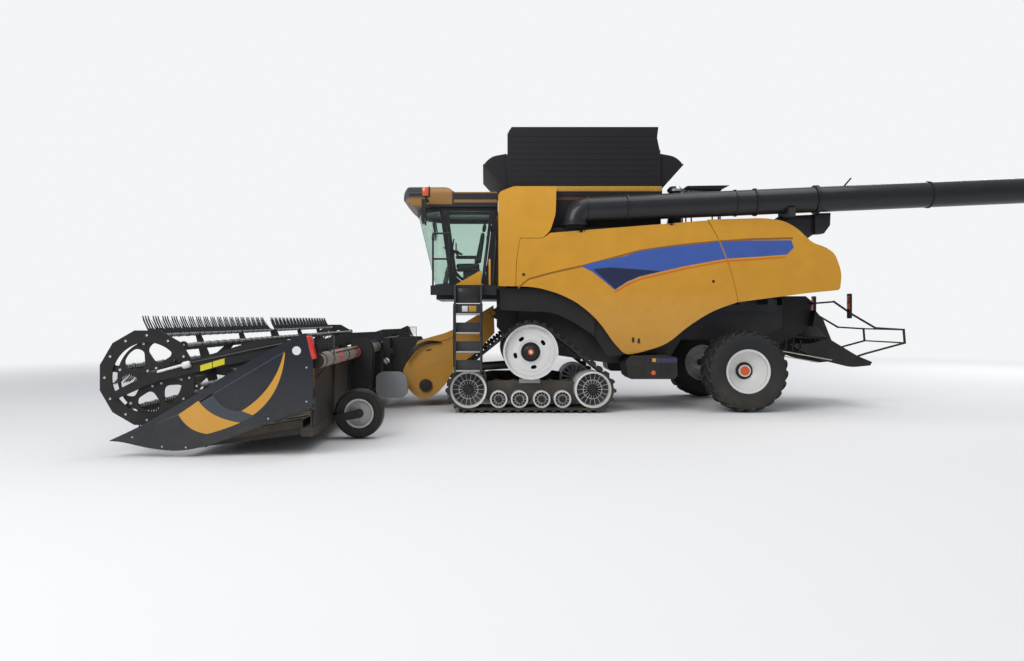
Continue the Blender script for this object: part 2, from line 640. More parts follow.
# Side panels, column and tail: large mouldings in glossy yellow plastic, crowned
# from top to bottom, with field dust towards their lower edges. The front pair
# opens on hinges, so each stripe on it rides with its own panel.
CROWN_RADIUS = 5.0
CROWN_HEIGHT = 2.4
PANEL_HALF_WIDTH = 1.6
DECAL_START_Y = 1.7
DECAL_STEP = 0.05
SEAM_LOW = (-3.455, 2.70)
SEAM_HIGH = (-3.335, 3.02)
SEAM_HALF_GAP = 0.011
CREASE_DEPTH = 0.036

panel_yellow = finish("panel_yellow", (0.60, 0.285, 0.018), 0.26, dust=0.2, dust_high=2.3, coat=0.55,
                      grain=(0.9, 70.0, 0.12), relief=0.0018)
stripe_blue = finish("stripe_blue", (0.045, 0.10, 0.36), 0.24, dust=0.12, coat=0.4, relief=0.0002)
stripe_navy = finish("stripe_navy", (0.012, 0.02, 0.06), 0.26, dust=0.12, coat=0.4, relief=0.0002)
stripe_orange = finish("stripe_orange", (0.62, 0.13, 0.015), 0.28, dust=0.12, coat=0.4, relief=0.0002)
crease_shade = finish("crease_shade", (0.27, 0.11, 0.010), 0.35, dust=0.3, coat=0.3, relief=0.0004)
moulded_black = finish("moulded_black", (0.014, 0.014, 0.015), 0.48, dust=0.1, dust_high=2.2,
                       grain=(12.0, 280.0, 0.6))
dress(panel_yellow, "fixed_panels", "side_panel_left", "side_panel_right", "rear_hood")
dress(moulded_black, "skirts")


def crown_y(z, proud=0.0):
    """How far the crowned panels stand out at a height."""
    return PANEL_HALF_WIDTH - CROWN_RADIUS + math.sqrt(
        CROWN_RADIUS ** 2 - (z - CROWN_HEIGHT) ** 2) + proud


def decal(outline, proud=0.0015):
    """A thin stripe cut to a side outline and laid on the crowned panels."""
    piece = closed_line([place(x, DECAL_START_Y, z) for x, z in outline], "NGON")
    low = min(z for x, z in outline)
    high = max(z for x, z in outline)
    steps = max(2, int((high - low) / DECAL_STEP))
    with editing(piece):
        for index in range(1, steps):
            bpy.ops.mesh.select_all(action="SELECT")
            bpy.ops.mesh.bisect(plane_co=(0, 0, low + (high - low) * index / steps), plane_no=(0, 0, 1))
        bpy.ops.mesh.select_all(action="SELECT")
        bpy.ops.mesh.normals_make_consistent(inside=False)
    for vertex in piece.data.vertices:
        vertex.co.y = crown_y(vertex.co.z, proud)
    if sum(face.normal.y for face in piece.data.polygons) < 0:
        piece.data.flip_normals()
    return piece


def cut_at_seam(piece, keep_front):
    """Cuts a stripe along the seam between the front and the rear panel."""
    side = 1 if keep_front else -1
    down = Vector((SEAM_LOW[0] - SEAM_HIGH[0], 0, SEAM_LOW[1] - SEAM_HIGH[1]))
    ahead = Vector((-down.z, 0, down.x)).normalized()
    with editing(piece):
        bpy.ops.mesh.bisect(plane_co=place(SEAM_HIGH[0], 0, SEAM_HIGH[1]) + ahead * SEAM_HALF_GAP * side,
                            plane_no=ahead, clear_inner=keep_front, clear_outer=not keep_front)
    return piece


STRIPE_OUTLINE = (
    (-0.890, 2.571), (-1.20, 2.655), (-1.665, 2.745), (-1.929, 2.835), (-2.40, 2.905), (-2.985, 2.958),
    (-3.302, 3.003), (-3.90, 3.022), (-4.605, 3.028), (-4.645, 2.90), (-4.517, 2.773), (-4.0, 2.735),
    (-3.443, 2.700), (-2.70, 2.565), (-1.929, 2.385), (-1.70, 2.29), (-1.489, 2.148), (-1.30, 2.30),
    (-1.10, 2.46))
LINE_OUTLINE = (
    (-1.475, 2.115), (-1.70, 2.255), (-1.929, 2.350), (-2.70, 2.532), (-3.443, 2.668), (-4.0, 2.703),
    (-4.500, 2.742), (-4.488, 2.718), (-4.0, 2.679), (-3.443, 2.643), (-2.70, 2.506), (-1.929, 2.322),
    (-1.71, 2.228), (-1.49, 2.09))
WEDGE_OUTLINE = (
    (-1.10, 2.515), (-1.489, 2.165), (-1.70, 2.30), (-1.929, 2.395), (-2.30, 2.478), (-1.80, 2.52),
    (-1.40, 2.545))
CREASE_TOP = (
    (0.221, 2.199), (0.032, 2.359), (-0.40, 2.475), (-0.911, 2.588), (-1.929, 2.859), (-2.60, 2.955),
    (-3.249, 3.020), (-3.941, 3.065), (-4.633, 3.081))
CREASE_OUTLINE = CREASE_TOP + tuple((x, z - CREASE_DEPTH) for x, z in reversed(CREASE_TOP))
STRIPES = (
    # name, outline, how proud it lies, finish
    ("blue_stripe", STRIPE_OUTLINE, 0.0015, stripe_blue),
    ("orange_line", LINE_OUTLINE, 0.0015, stripe_orange),
    ("panel_crease", CREASE_OUTLINE, 0.001, crease_shade),
)
for name, outline, proud, colour in STRIPES:
    for part, bodies in (("_front", ("panel_left", "panel_right")), ("_rear", "root")):
        settle_pair(name + part, cut_at_seam(decal(outline, proud), part == "_front"), bodies,
                    "yellow_panel", colour)
settle_pair("navy_wedge", decal(WEDGE_OUTLINE, 0.0025), ("panel_left", "panel_right"),
            "yellow_panel", stripe_navy)

# Latches: two black rubber pulls on each front panel's low edge, and two round
# plugs in its face.
latches = []
for x, z in ((-1.83, 1.27), (-1.93, 1.25)):
    y = crown_y(z)
    latches += [block((x - 0.02, y - 0.006, z - 0.045), (x + 0.02, y + 0.012, z + 0.045), 0.006),
                block((x - 0.012, y + 0.008, z + 0.01), (x + 0.012, y + 0.024, z + 0.035), 0.005)]
latches += [turned(((0, -0.002), (0, 0.008), (0.022, 0.007), (0.028, -0.002)), (x, crown_y(z), z), steps=32)
            for x, z in ((0.12, 2.42), (-3.22, 2.30))]
settle_pair("panel_latches", latches, ("panel_left", "panel_right"), "black_plastic", moulded_black)

# Low box beside the body: black moulded lid lines with bolts, a round orange
# reflector, a plain blue plate and a small plain yellow one.
SKIRT_Y = 1.48
lid_lines = [block((x0, SKIRT_Y - 0.002, z0), (x1, SKIRT_Y + 0.006, z1), 0.002)
             for x0, x1, z0, z1 in ((-2.32, -2.308, 0.66, 0.95), (-2.02, -2.008, 0.66, 0.95),
                                    (-2.55, -1.80, 0.62, 0.632), (-2.56, -1.80, 0.95, 0.962))]
lid_bolts = bolts([(x, SKIRT_Y, 0.80) for x in (-2.48, -2.17, -1.90)])
settle_pair("box_trim", lid_lines + lid_bolts, "root", "black_plastic", moulded_black)
reflector = turned(((0, 0), (0, 0.012), (0.03, 0.011), (0.04, 0.006), (0.043, 0)),
                   (-2.19, SKIRT_Y - 0.002, 0.68), steps=40)
settle_pair("box_reflector", reflector, "root", "lamp_lens", cap_orange)
plate_blue = finish("plate_blue", (0.035, 0.04, 0.11), 0.3, dust=0.08, relief=0.0002)
for name, low, high, slot_name, colour in (
        ("box_plate", (-2.61, SKIRT_Y, 0.865), (-2.25, SKIRT_Y + 0.004, 0.945), "black_plastic", plate_blue),
        ("box_small_plate", (-2.235, SKIRT_Y, 0.875), (-2.165, SKIRT_Y + 0.004, 0.94), "yellow_paint",
         panel_yellow)):
    settle_pair(name, block(low, high, 0.001), "root", slot_name, colour)

# Header: a wide draper platform. Its frame is black painted steel round a grey
# back tube; the end shields are glossy moulded plastic with yellow shapes laid
# on, and a red reflector stands at each rear edge.
SHIELD_Y = 6.2
MARK_PROUD = 0.003
LINE_PROUD = 0.002

shield_gloss = finish("shield_gloss", (0.010, 0.013, 0.019), 0.26, dust=0.08, dust_high=1.0, coat=0.35,
                      grain=(1.5, 90.0, 0.15), relief=0.0008)
shield_slate = finish("shield_slate", (0.040, 0.047, 0.062), 0.3, dust=0.06, dust_high=1.0, coat=0.3,
                      relief=0.0003)
tube_grey = finish("tube_grey", (0.20, 0.185, 0.165), 0.5, dust=0.5, dust_high=2.0)
reflector_red = finish("reflector_red", (0.62, 0.022, 0.018), 0.22, dust=0.12, coat=0.5, relief=0.0003)
band_pink = finish("band_pink", (0.60, 0.09, 0.09), 0.35, dust=0.2, relief=0.0003)
cover_grey = finish("cover_grey", (0.30, 0.32, 0.34), 0.48, dust=0.35, dust_high=1.5,
                    grain=(10.0, 200.0, 0.4), relief=0.0005)
knife_steel = finish("knife_steel", (0.42, 0.42, 0.42), 0.36, dust=0.35, dust_high=1.0, metallic=1.0,
                     grain=(12.0, 200.0, 0.5), relief=0.0003)
draper_black = finish("draper_black", (0.018, 0.018, 0.02), 0.62, dust=0.5, dust_high=1.6,
                      grain=(30.0, 400.0, 0.5))
header_black = finish("header_black", (0.012, 0.0125, 0.014), 0.42, dust=0.16, dust_high=1.4,
                      grain=(2.0, 90.0, 0.25))
dress(shield_gloss, "end_shields")
dress(header_black, "header_frame", "float_module", "wheel_legs", "centre_plates")
dress(cover_grey, "gearbox_cover")
dress(knife_steel, "cutter_bar")
dress(draper_black, "drapers")


def between(start, end, share):
    """The point at a share of the way between two points."""
    return tuple(a + (b - a) * share for a, b in zip(start, end))


def arc_through(start, middle, end, steps=10):
    """Points on a smooth bow from start through middle to end."""
    pull = tuple(2 * m - (a + b) / 2 for a, m, b in zip(start, middle, end))
    return [between(between(start, pull, t / steps), between(pull, end, t / steps), t / steps)
            for t in range(steps + 1)]


LOW_YELLOW = ([(4.411, 0.504), (4.174, 0.668)] + arc_through((4.17, 0.665), (3.983, 0.503), (3.69, 0.413))
              + arc_through((3.685, 0.41), (3.88, 0.335), (4.073, 0.278))
              + arc_through((4.08, 0.28), (4.27, 0.35), (4.405, 0.5)))
SLATE_MARK = ([(4.172, 0.671)] + arc_through((4.005, 0.751), (3.870, 0.594), (3.667, 0.544))
              + arc_through((3.66, 0.542), (3.60, 0.522), (3.532, 0.497))
              + arc_through((3.53, 0.49), (3.61, 0.445), (3.69, 0.416))
              + arc_through((3.70, 0.42), (3.983, 0.508), (4.165, 0.668)))
CRESCENT = (arc_through((3.667, 0.548), (3.345, 0.84), (3.170, 1.232), 16)
            + arc_through((3.153, 1.236), (3.268, 0.80), (3.532, 0.50), 16))
EDGE_LINE = ((3.155, 1.240), (4.411, 0.498), (4.66, 0.40), (4.66, 0.412), (4.417, 0.511), (3.160, 1.255))
for name, outline, proud, slot_name, colour in (
        ("low_yellow_mark", LOW_YELLOW, MARK_PROUD, "yellow_paint", panel_yellow),
        ("slate_mark", SLATE_MARK, LINE_PROUD, "shield_plastic", shield_slate),
        ("yellow_crescent", CRESCENT, MARK_PROUD, "yellow_paint", panel_yellow),
        ("edge_line", EDGE_LINE, LINE_PROUD, "shield_plastic", shield_slate)):
    settle_pair(name, plate(outline, SHIELD_Y - 0.0005, SHIELD_Y + proud), "header", slot_name, colour)
disc_mark = turned(((0, -0.001), (0, 0.002), (0.05, 0.002), (0.053, -0.001)), (3.018, SHIELD_Y, 1.258),
                   steps=40)
settle_pair("white_disc", disc_mark, "header", "shield_plastic", wheel_paint)
rear_reflector = plate(((2.905, 1.435), (2.857, 1.43), (2.790, 1.165), (2.838, 1.155)), 6.085, 6.206, 0.006)
settle_pair("red_reflector", rear_reflector, "header", "lamp_lens", reflector_red)
shield_bolts = bolts([(x, SHIELD_Y + 0.001, z) for x, z in (
    (4.32, 0.12), (4.60, 0.13), (2.90, 0.66), (2.90, 1.06), (3.35, 0.46), (4.95, 0.24))])
settle_pair("shield_bolts", shield_bolts, "header", "bare_steel", spoke_paint)

# Back tube of the header: a grey sleeve of steel with two reflecting bands,
# strapped to the frame, and the mesh guard above it beside each end shield.
TUBE_AT = (2.81, 0.0, 1.13)
TUBE_RADIUS = 0.0925
BAND_WIDTH = 0.2
STRAP_WIDTH = 0.03
WIRE_PITCH, WIRE = 0.032, 0.004
BEND_STEPS = 6
back_tubes = [sleeve(0.06, TUBE_RADIUS, start, end, TUBE_AT) for start, end in ((0.935, 2.98), (3.30, 6.07))]
settle_pair("back_tube", back_tubes, "header", "header_grey", tube_grey)
for name, y, colour in (("tube_band_pink", 4.83, band_pink), ("tube_band_red", 3.40, reflector_red)):
    settle_pair(name, sleeve(0.09, 0.0945, y, y + BAND_WIDTH, TUBE_AT), "header", "lamp_lens", colour)
straps = [sleeve(0.09, 0.099, y, y + STRAP_WIDTH, TUBE_AT) for y in (1.3, 2.2, 3.7, 4.3, 5.4, 5.9)]
guard_wires = [block((x, 5.80, 1.235), (x + WIRE, 5.80 + WIRE, 1.43), 0.001)
               for x in [2.655 + WIRE_PITCH * i for i in range(7)]]
guard_wires += [block((2.65, 5.801, z), (2.86, 5.801 + WIRE, z + WIRE), 0.001)
                for z in [1.24 + 0.03 * i for i in range(7)]]
guard_wires += [block((2.645, 5.795, z), (x, 5.81, 1.44), 0.002) for z, x in ((1.19, 2.66), (1.428, 2.865))]
settle_pair("mesh_guard", guard_wires + straps, "header", "dark_paint", frame_paint)


def bent(points, radius, bend=0.06, bevel_steps=2):
    """A round bar or pipe along points given from the front axle, its corners bent."""
    points = [place(*point) for point in points]
    path = [points[0]]
    for before, here, after in zip(points, points[1:], points[2:]):
        reach = min(bend, (before - here).length / 2, (after - here).length / 2)
        start = here + (before - here).normalized() * reach
        end = here + (after - here).normalized() * reach
        for step in range(BEND_STEPS + 1):
            share = step / BEND_STEPS
            path.append(start.lerp(here, share).lerp(here.lerp(end, share), share))
    path.append(points[-1])
    curve = bpy.data.curves.new("bent_bar", "CURVE")
    curve.dimensions = "3D"
    curve.bevel_depth = radius
    curve.bevel_resolution = bevel_steps
    curve.use_fill_caps = True
    line = curve.splines.new("POLY")
    line.points.add(len(path) - 1)
    for point, at in zip(line.points, path):
        point.co = (*at, 1)
    piece = bpy.data.objects.new("bent_bar", curve)
    bpy.context.scene.collection.objects.link(piece)
    select_only(piece)
    bpy.ops.object.convert(target="MESH")
    return bpy.context.object


pipes = [bent([(2.80 - 0.02 * i, y, 1.235 + 0.022 * i) for y in (0.95, 2.90)], 0.009) for i in range(2)]
pipes += [bent([(2.74, 3.32, 1.20), (2.74, 5.2, 1.20), (2.80, 5.6, 1.02), (2.88, 5.8, 0.9)], 0.009),
          bent([(2.50, 0.93, 0.62), (2.60, 1.05, 0.9), (2.75, 1.2, 1.0), (2.84, 1.6, 0.95)], 0.011)]
settle_pair("frame_pipes", pipes, "header", "dark_paint", hub_black)
strut = bent([(3.30, 6.05, 0.40), (2.90, 6.05, 0.56), (2.84, 6.05, 0.575)], 0.02)
settle_pair("header_strut", strut, "header", "dark_paint", frame_paint)
centre_lamp = turned(((0, 0), (0, 0.03), (0.04, 0.026), (0.055, 0.012), (0.058, -0.004)),
                     (2.62, 0.908, 0.864), steps=40)
settle_pair("centre_lamp", centre_lamp, "header", "lamp_lens", wheel_paint)

# The pick-up reel lifts the crop over the knife: six light steel tubes between
# spiders and end discs, with sprung fingers of black plastic clipped along each
# tube, carried by two end arms with a cam ring and one arm in the middle.
REEL_X, REEL_Z = 4.79, 0.93
BAT_REACH = 0.52
BAT_ENDS = (0.112, 5.938)
FIRST_FINGER_Y = 0.2
FINGER_PITCH = 0.305
FINGER_GROUPS = 18
FINGER_LEANS = (58, -20, -60, -95, -95, -58)
FIRST_BAT, BAT_STEP = 72, 60
reel_black = finish("reel_black", (0.010, 0.0105, 0.012), 0.4, dust=0.07, dust_high=2.0,
                    grain=(2.0, 80.0, 0.2))
bat_grey = finish("bat_grey", (0.46, 0.47, 0.47), 0.42, dust=0.3, dust_high=2.0, metallic=0.35,
                  grain=(3.0, 120.0, 0.15))
finger_black = finish("finger_black", (0.014, 0.015, 0.017), 0.5, dust=0.2, dust_high=1.5,
                      grain=(8.0, 200.0, 0.3))
bright_yellow = finish("bright_yellow", (0.62, 0.56, 0.02), 0.35, dust=0.06)
dress(reel_black, "reel", "reel_arms")


def on_ring(x, z, radius, degrees, y):
    """A point at an angle on a ring that faces left."""
    turn = math.radians(degrees)
    return (x + radius * math.cos(turn), y, z + radius * math.sin(turn))


finger = plate(((-0.027, -0.012), (0.0, -0.029), (0.12, -0.020), (0.23, -0.006), (0.285, 0.016),
                (0.279, 0.023), (0.21, 0.007), (0.12, -0.003), (0.03, 0.022), (-0.012, 0.027)), -0.006, 0.006)
finger.data.transform(Matrix.Translation(-place(0, 0, 0)))
finger_rows = []
for bat, lean in enumerate(FINGER_LEANS):
    bat_x, _, bat_z = on_ring(REEL_X, REEL_Z, BAT_REACH, FIRST_BAT + BAT_STEP * bat, 0)
    turn = Matrix.Rotation(-math.radians(lean), 4, "Y")
    for quarter in (1, 2, 3):
        clip = place(bat_x, FIRST_FINGER_Y + FINGER_PITCH * quarter / 4, bat_z)
        finger_rows.append(moved_copy(finger, Matrix.Translation(clip) @ turn))
    bat_tube = sleeve(0.018, 0.0243, *BAT_ENDS, (bat_x, 0, bat_z), steps=14)
    settle_pair("bat_tube", bat_tube, "reel", "reel_paint", bat_grey)
bpy.data.objects.remove(finger)
fingers = modified(joined(finger_rows), "ARRAY", count=FINGER_GROUPS, use_relative_offset=False,
                   use_constant_offset=True, constant_offset_displace=(0, FINGER_PITCH, 0))
settle_pair("reel_fingers", fingers, "reel", "black_plastic", finger_black)

# End discs and cam rings are bolted together with plated bolts; the arm beside
# the ring has a light push rod with a white cap, a dark rod behind it, and two
# bare yellow plates.
DISC_Y, RING_Y, ROD_Y = 5.957, 5.984, 6.045
RING_X, RING_Z, RING_REACH = 4.87, 0.925, 0.51
disc_bolts = bolts([on_ring(REEL_X, REEL_Z, radius, first + BAT_STEP * i, DISC_Y)
                    for radius, first in ((BAT_REACH, FIRST_BAT), (0.425, FIRST_BAT), (0.11, 42))
                    for i in range(6)], 0.018, 0.012)
settle_pair("disc_bolts", disc_bolts, "reel", "bare_steel", spoke_paint)
disc_hub = turned(((0.0, 0), (0.0, 0.05), (0.03, 0.048), (0.045, 0.036), (0.075, 0.034), (0.09, 0.02),
                   (0.092, -0.002)), (REEL_X, DISC_Y + 0.001, REEL_Z), steps=40)
settle_pair("disc_hub", disc_hub, "reel", "reel_paint", reel_black)
ring_bolts = bolts([on_ring(RING_X, RING_Z, RING_REACH, 30 * i, RING_Y) for i in range(12)], 0.016, 0.012)
settle_pair("ring_bolts", ring_bolts, "reel_lift", "bare_steel", spoke_paint)
push_rod = bent([(4.35, ROD_Y, 1.10), (4.72, ROD_Y, 1.0)], 0.016)
rod_cap = turned(((0, -0.05), (0.03, -0.05), (0.042, -0.03), (0.042, 0.03), (0.03, 0.05), (0, 0.05)),
                 (4.37, ROD_Y + 0.01, 1.085), (0.96, 0, -0.26), steps=24)
settle_pair("push_rod", [push_rod, rod_cap], "reel_lift", "bare_steel", wheel_paint)
rod_rear = bent([(3.10, ROD_Y, 1.36), (3.60, ROD_Y, 1.26), (4.33, ROD_Y, 1.105)], 0.014)
settle_pair("rod_rear", rod_rear, "reel_lift", "dark_paint", reel_black)
arm_plates = [plate(((x, z), (x - 0.14, z + 0.040), (x - 0.14, z + 0.112), (x, z + 0.072)), 6.034, 6.0375)
              for x, z in ((4.21, 1.005), (4.06, 1.05))]
settle_pair("arm_plates", arm_plates, "reel_lift", "yellow_paint", bright_yellow)

# The feeder house takes the crop up from the header: a welded box in the body's
# yellow, dulled by dust, with bolted edges, a drive hub and hoses on its side.
FEEDER_SIDE = 0.7002
feeder_yellow = finish("feeder_yellow", (0.56, 0.26, 0.02), 0.5, dust=0.5, dust_high=2.2,
                       grain=(1.5, 70.0, 0.3), relief=0.0012)
dress(feeder_yellow, "feeder_house")
feeder_hub = turned(((0, 0.02), (0.02, 0.02), (0.022, 0.012), (0.06, 0.010), (0.065, 0.0), (0.10, -0.004),
                     (0.122, -0.03), (0.122, -0.05), (0, -0.05)), (1.908, 0.765, 0.397), steps=40)
settle_pair("feeder_hub", feeder_hub, "header", "black_plastic", moulded_black)
edge_bolts = bolts([(1.05 + 0.19 * i, FEEDER_SIDE + 0.0003, 1.43 - 0.075 * i) for i in range(5)]
                   + [(0.95 + 0.2 * i, FEEDER_SIDE + 0.0003, 1.15 - 0.13 * i) for i in range(4)])
settle_pair("feeder_bolts", edge_bolts, "header", "bare_steel", spoke_paint)
feeder_slot = plate(((1.80, 1.055), (1.90, 1.035), (1.905, 1.062), (1.805, 1.082)),
                    FEEDER_SIDE, FEEDER_SIDE + 0.002)
settle_pair("feeder_slot", feeder_slot, "header", "black_plastic", moulded_black)
feeder_seam = plate(((0.78, 1.30), (1.28, 0.97), (2.04, 0.70), (2.04, 0.685), (1.275, 0.955), (0.775, 1.285)),
                    FEEDER_SIDE, FEEDER_SIDE + 0.004)
settle_pair("feeder_seam", feeder_seam, "header", "yellow_paint", feeder_yellow)
header_hoses = [bent([(1.62 + 0.05 * i, 0.73, 1.20), (1.86 + 0.04 * i, 0.78, 1.24 - 0.03 * i),
                      (2.14, 0.80, 1.12 - 0.05 * i), (2.26, 0.79, 0.92 - 0.04 * i)], 0.014, 0.12)
                for i in range(3)]
settle("header_hoses", header_hoses, "header", "rubber", hub_black)

# Cab: a black pressed steel frame under a moulded roof. The roof's dome is painted
# with the body's yellow under dust, and its brow and rear band are black plastic.
EDGE_SOFT = 0.012
ROOF_YELLOW = (0.30, 0.155, 0.04, 1.0)
YELLOW_AREAS = (
    # rear, front, low, high, softness of the low and high edges
    (1.40, 1.93, 3.74, 4.09, EDGE_SOFT),
    (0.40, 1.37, 3.772, 3.822, EDGE_SOFT),
    (0.50, 1.37, 3.945, 4.0, EDGE_SOFT),
    (1.93, 2.30, 3.70, 3.86, 0.03),
)
cab_black = finish("cab_black", (0.009, 0.0095, 0.011), 0.42, dust=0.06, dust_high=3.2, coat=0.2)
trim_dark = finish("trim_dark", (0.035, 0.036, 0.039), 0.7, dust=0.1, dust_high=3.0, grain=(30.0, 400.0, 0.3))
lamp_glass = finish("lamp_glass", (0.72, 0.73, 0.70), 0.12, dust=0.1, coat=1.0,
                    grain=(40.0, 300.0, 0.1), relief=0.0015)
signal_orange = finish("signal_orange", (0.72, 0.10, 0.02), 0.2, dust=0.1, coat=0.8,
                       grain=(20.0, 300.0, 0.15))
roof_paint = finish("roof_paint", (0.016, 0.017, 0.019), 0.42, dust=0.2, dust_high=3.5, coat=0.2)
dress(cab_black, "cab_frame", "cab_door", "mirrors", "steering_column")
dress(lamp_glass, "lamps")
dress(roof_paint, "cab_roof")


def in_band(tree, value, low, high, soft=EDGE_SOFT):
    """A mask that is 1 between two places and 0 outside them."""
    edges = [wired(tree, "MapRange", {
        "Value": value, "From Min": edge - sign * soft, "From Max": edge + sign * soft}).outputs["Result"]
        for edge, sign in ((low, 1), (high, -1))]
    return math_node(tree, "MULTIPLY", *edges)


roof_tree = roof_paint.node_tree
roof_shader = roof_tree.nodes["Principled BSDF"]
roof_black = roof_shader.inputs["Base Color"].links[0].from_socket
roof_place = wired(roof_tree, "TexCoord", {}).outputs["Object"]
roof_axes = wired(roof_tree, "SeparateXYZ", {0: roof_place}).outputs
yellow_mask = 0.0
for rear, front, low, high, soft in YELLOW_AREAS:
    along = in_band(roof_tree, roof_axes["X"], AXLE_X + rear, AXLE_X + front)
    area = math_node(roof_tree, "MULTIPLY", along, in_band(roof_tree, roof_axes["Z"], low, high, soft))
    yellow_mask = math_node(roof_tree, "MAXIMUM", yellow_mask, area)
feed(roof_tree, roof_shader, {"Base Color": colour_mix(roof_tree, yellow_mask, roof_black, ROOF_YELLOW)})

# Glass is toughened and lightly tinted green, held in rubber seals. The mirrors
# are silvered, and the lamps have white rims and orange signal lenses.
glass_tint, glass_tree, glass_shader = new_material("glass_tint")
feed(glass_tree, glass_shader, {
    "Base Color": (0.66, 0.78, 0.72, 1), "Roughness": 0.02, "Transmission Weight": 1.0,
    "IOR": 1.02, "Coat Weight": 0.5})
dress(glass_tint, "cab_glass", "door_glass")
LAMP_PLACES = [(2.3083, 0.20, 3.9), (2.2855, 0.42, 3.9), (2.2458, 0.64, 3.9)]
AHEAD, UP = (1, 0, 0), (0, 0, 1)
bezels = [sleeve(0.047, 0.0545, -0.004, 0.008, lamp_at, AHEAD, 32) for lamp_at in LAMP_PLACES]
bezels += [turned(((0, 0.004), (0.03, 0.003), (0.045, -0.002), (0.045, -0.006), (0, -0.006)),
                  lamp_at, AHEAD, 32) for lamp_at in LAMP_PLACES]
settle_pair("lamp_bezels", bezels, "root", "lamp_lens", wheel_paint)
corner_lamp = block((1.79, 1.42, 3.815), (1.91, 1.53, 3.975), 0.018)
settle_pair("corner_lamp", corner_lamp, "root", "lamp_lens", signal_orange)
lamp_shell = [block((1.775, 1.41, 3.805), (1.80, 1.54, 3.985), 0.01),
              block((1.80, 1.41, 3.80), (1.90, 1.54, 3.818), 0.006),
              block((1.83, 1.05, 3.77), (1.87, 1.075, 3.83), 0.006)]
settle_pair("lamp_shell", lamp_shell, "root", "black_plastic", cab_black)
mirror_face = block((1.853, 1.395, 3.345), (1.8555, 1.605, 3.735), 0.001)
mirror_silver, mirror_tree, mirror_shader = new_material("mirror_silver")
feed(mirror_tree, mirror_shader, {"Base Color": (0.7, 0.72, 0.74, 1), "Metallic": 1.0, "Roughness": 0.04})
settle_pair("mirror_face", mirror_face, "root", "glass", mirror_silver)

# Driver's seat: a steel pedestal with foam cushions in a woven cover; the foam
# is blown up inside its cover by a short cloth simulation.
SKIN_SIZE = 0.012
BLOW_UP_CAP = 0.012
BLOW_UP_FRAMES = 16
BLOW_UP_PRESSURE = 4.0
seat_weave = finish("seat_weave", (0.045, 0.048, 0.055), 0.9, dust=0.05, dust_high=3.0,
                    grain=(60.0, 900.0, 0.5), relief=0.001)
pedestal = [block(low, high, round_by) for low, high, round_by in (
    ((0.955, -0.165, 2.27), (1.225, 0.165, 2.58), 0.02),
    ((0.90, -0.24, 2.58), (1.36, 0.24, 2.605), 0.01),
    ((0.95, -0.40, 2.62), (1.01, -0.305, 2.85), 0.01),
    ((0.95, -0.31, 2.64), (1.01, -0.24, 2.70), 0.01),
    ((1.37, -0.47, 3.0), (1.39, -0.25, 3.16), 0.008))]
pedestal += [turned(((0, 0), (0.018, 0), (0.02, 0.06), (0.024, 0.09), (0.018, 0.108), (0, 0.11)),
                    (1.35, -0.36, 2.905), UP, 24),
             bent([(1.30, -0.36, 2.89), (1.38, -0.36, 2.93), (1.385, -0.36, 3.03)], 0.012)]
settle("seat_pedestal", pedestal, "root", "black_plastic", trim_dark, "seat")


def cushion(name, outline, y0, y1):
    """A foam pad with a crowned cover, from a side outline and two sides."""
    pad = modified(plate(outline, y0, y1), "REMESH", mode="VOXEL", voxel_size=SKIN_SIZE)
    before = [vertex.co.copy() for vertex in pad.data.vertices]
    bpy.ops.object.modifier_add(type="CLOTH")
    cover = pad.modifiers[-1]
    cover.settings.use_pressure = True
    cover.settings.uniform_pressure_force = BLOW_UP_PRESSURE
    cover.settings.effector_weights.gravity = 0.0
    cover.point_cache.frame_start = 1
    cover.point_cache.frame_end = BLOW_UP_FRAMES
    for step in range(1, BLOW_UP_FRAMES + 1):
        bpy.context.scene.frame_set(step)
    bpy.ops.object.modifier_apply(modifier=cover.name)
    bpy.context.scene.frame_set(1)
    for vertex, start in zip(pad.data.vertices, before):
        shift = vertex.co - start
        if shift.length > BLOW_UP_CAP:
            vertex.co = start + shift.normalized() * BLOW_UP_CAP
    modified(pad, "SMOOTH", iterations=4)
    settle(name, pad, "root", "seat_fabric", seat_weave, "seat", smooth=80)


cushion("seat_cushion", ((0.90, 2.612), (0.90, 2.70), (1.10, 2.705), (1.355, 2.70), (1.37, 2.66),
                         (1.355, 2.612)), -0.245, 0.245)
cushion("seat_back", ((0.895, 2.73), (0.81, 3.31), (0.86, 3.325), (0.985, 2.73)), -0.225, 0.225)
cushion("head_rest", ((0.798, 3.352), (0.778, 3.488), (0.822, 3.498), (0.852, 3.352)), -0.118, 0.118)
cushion("arm_rest", ((0.91, 2.856), (0.91, 2.900), (1.39, 2.900), (1.39, 2.856)), -0.412, -0.308)
roof_seal = block((0.5635, 0.60, 3.60), (0.5828, 1.045, 3.93), 0.003)
settle_pair("roof_seal", roof_seal, "root", "rubber", trim_dark)

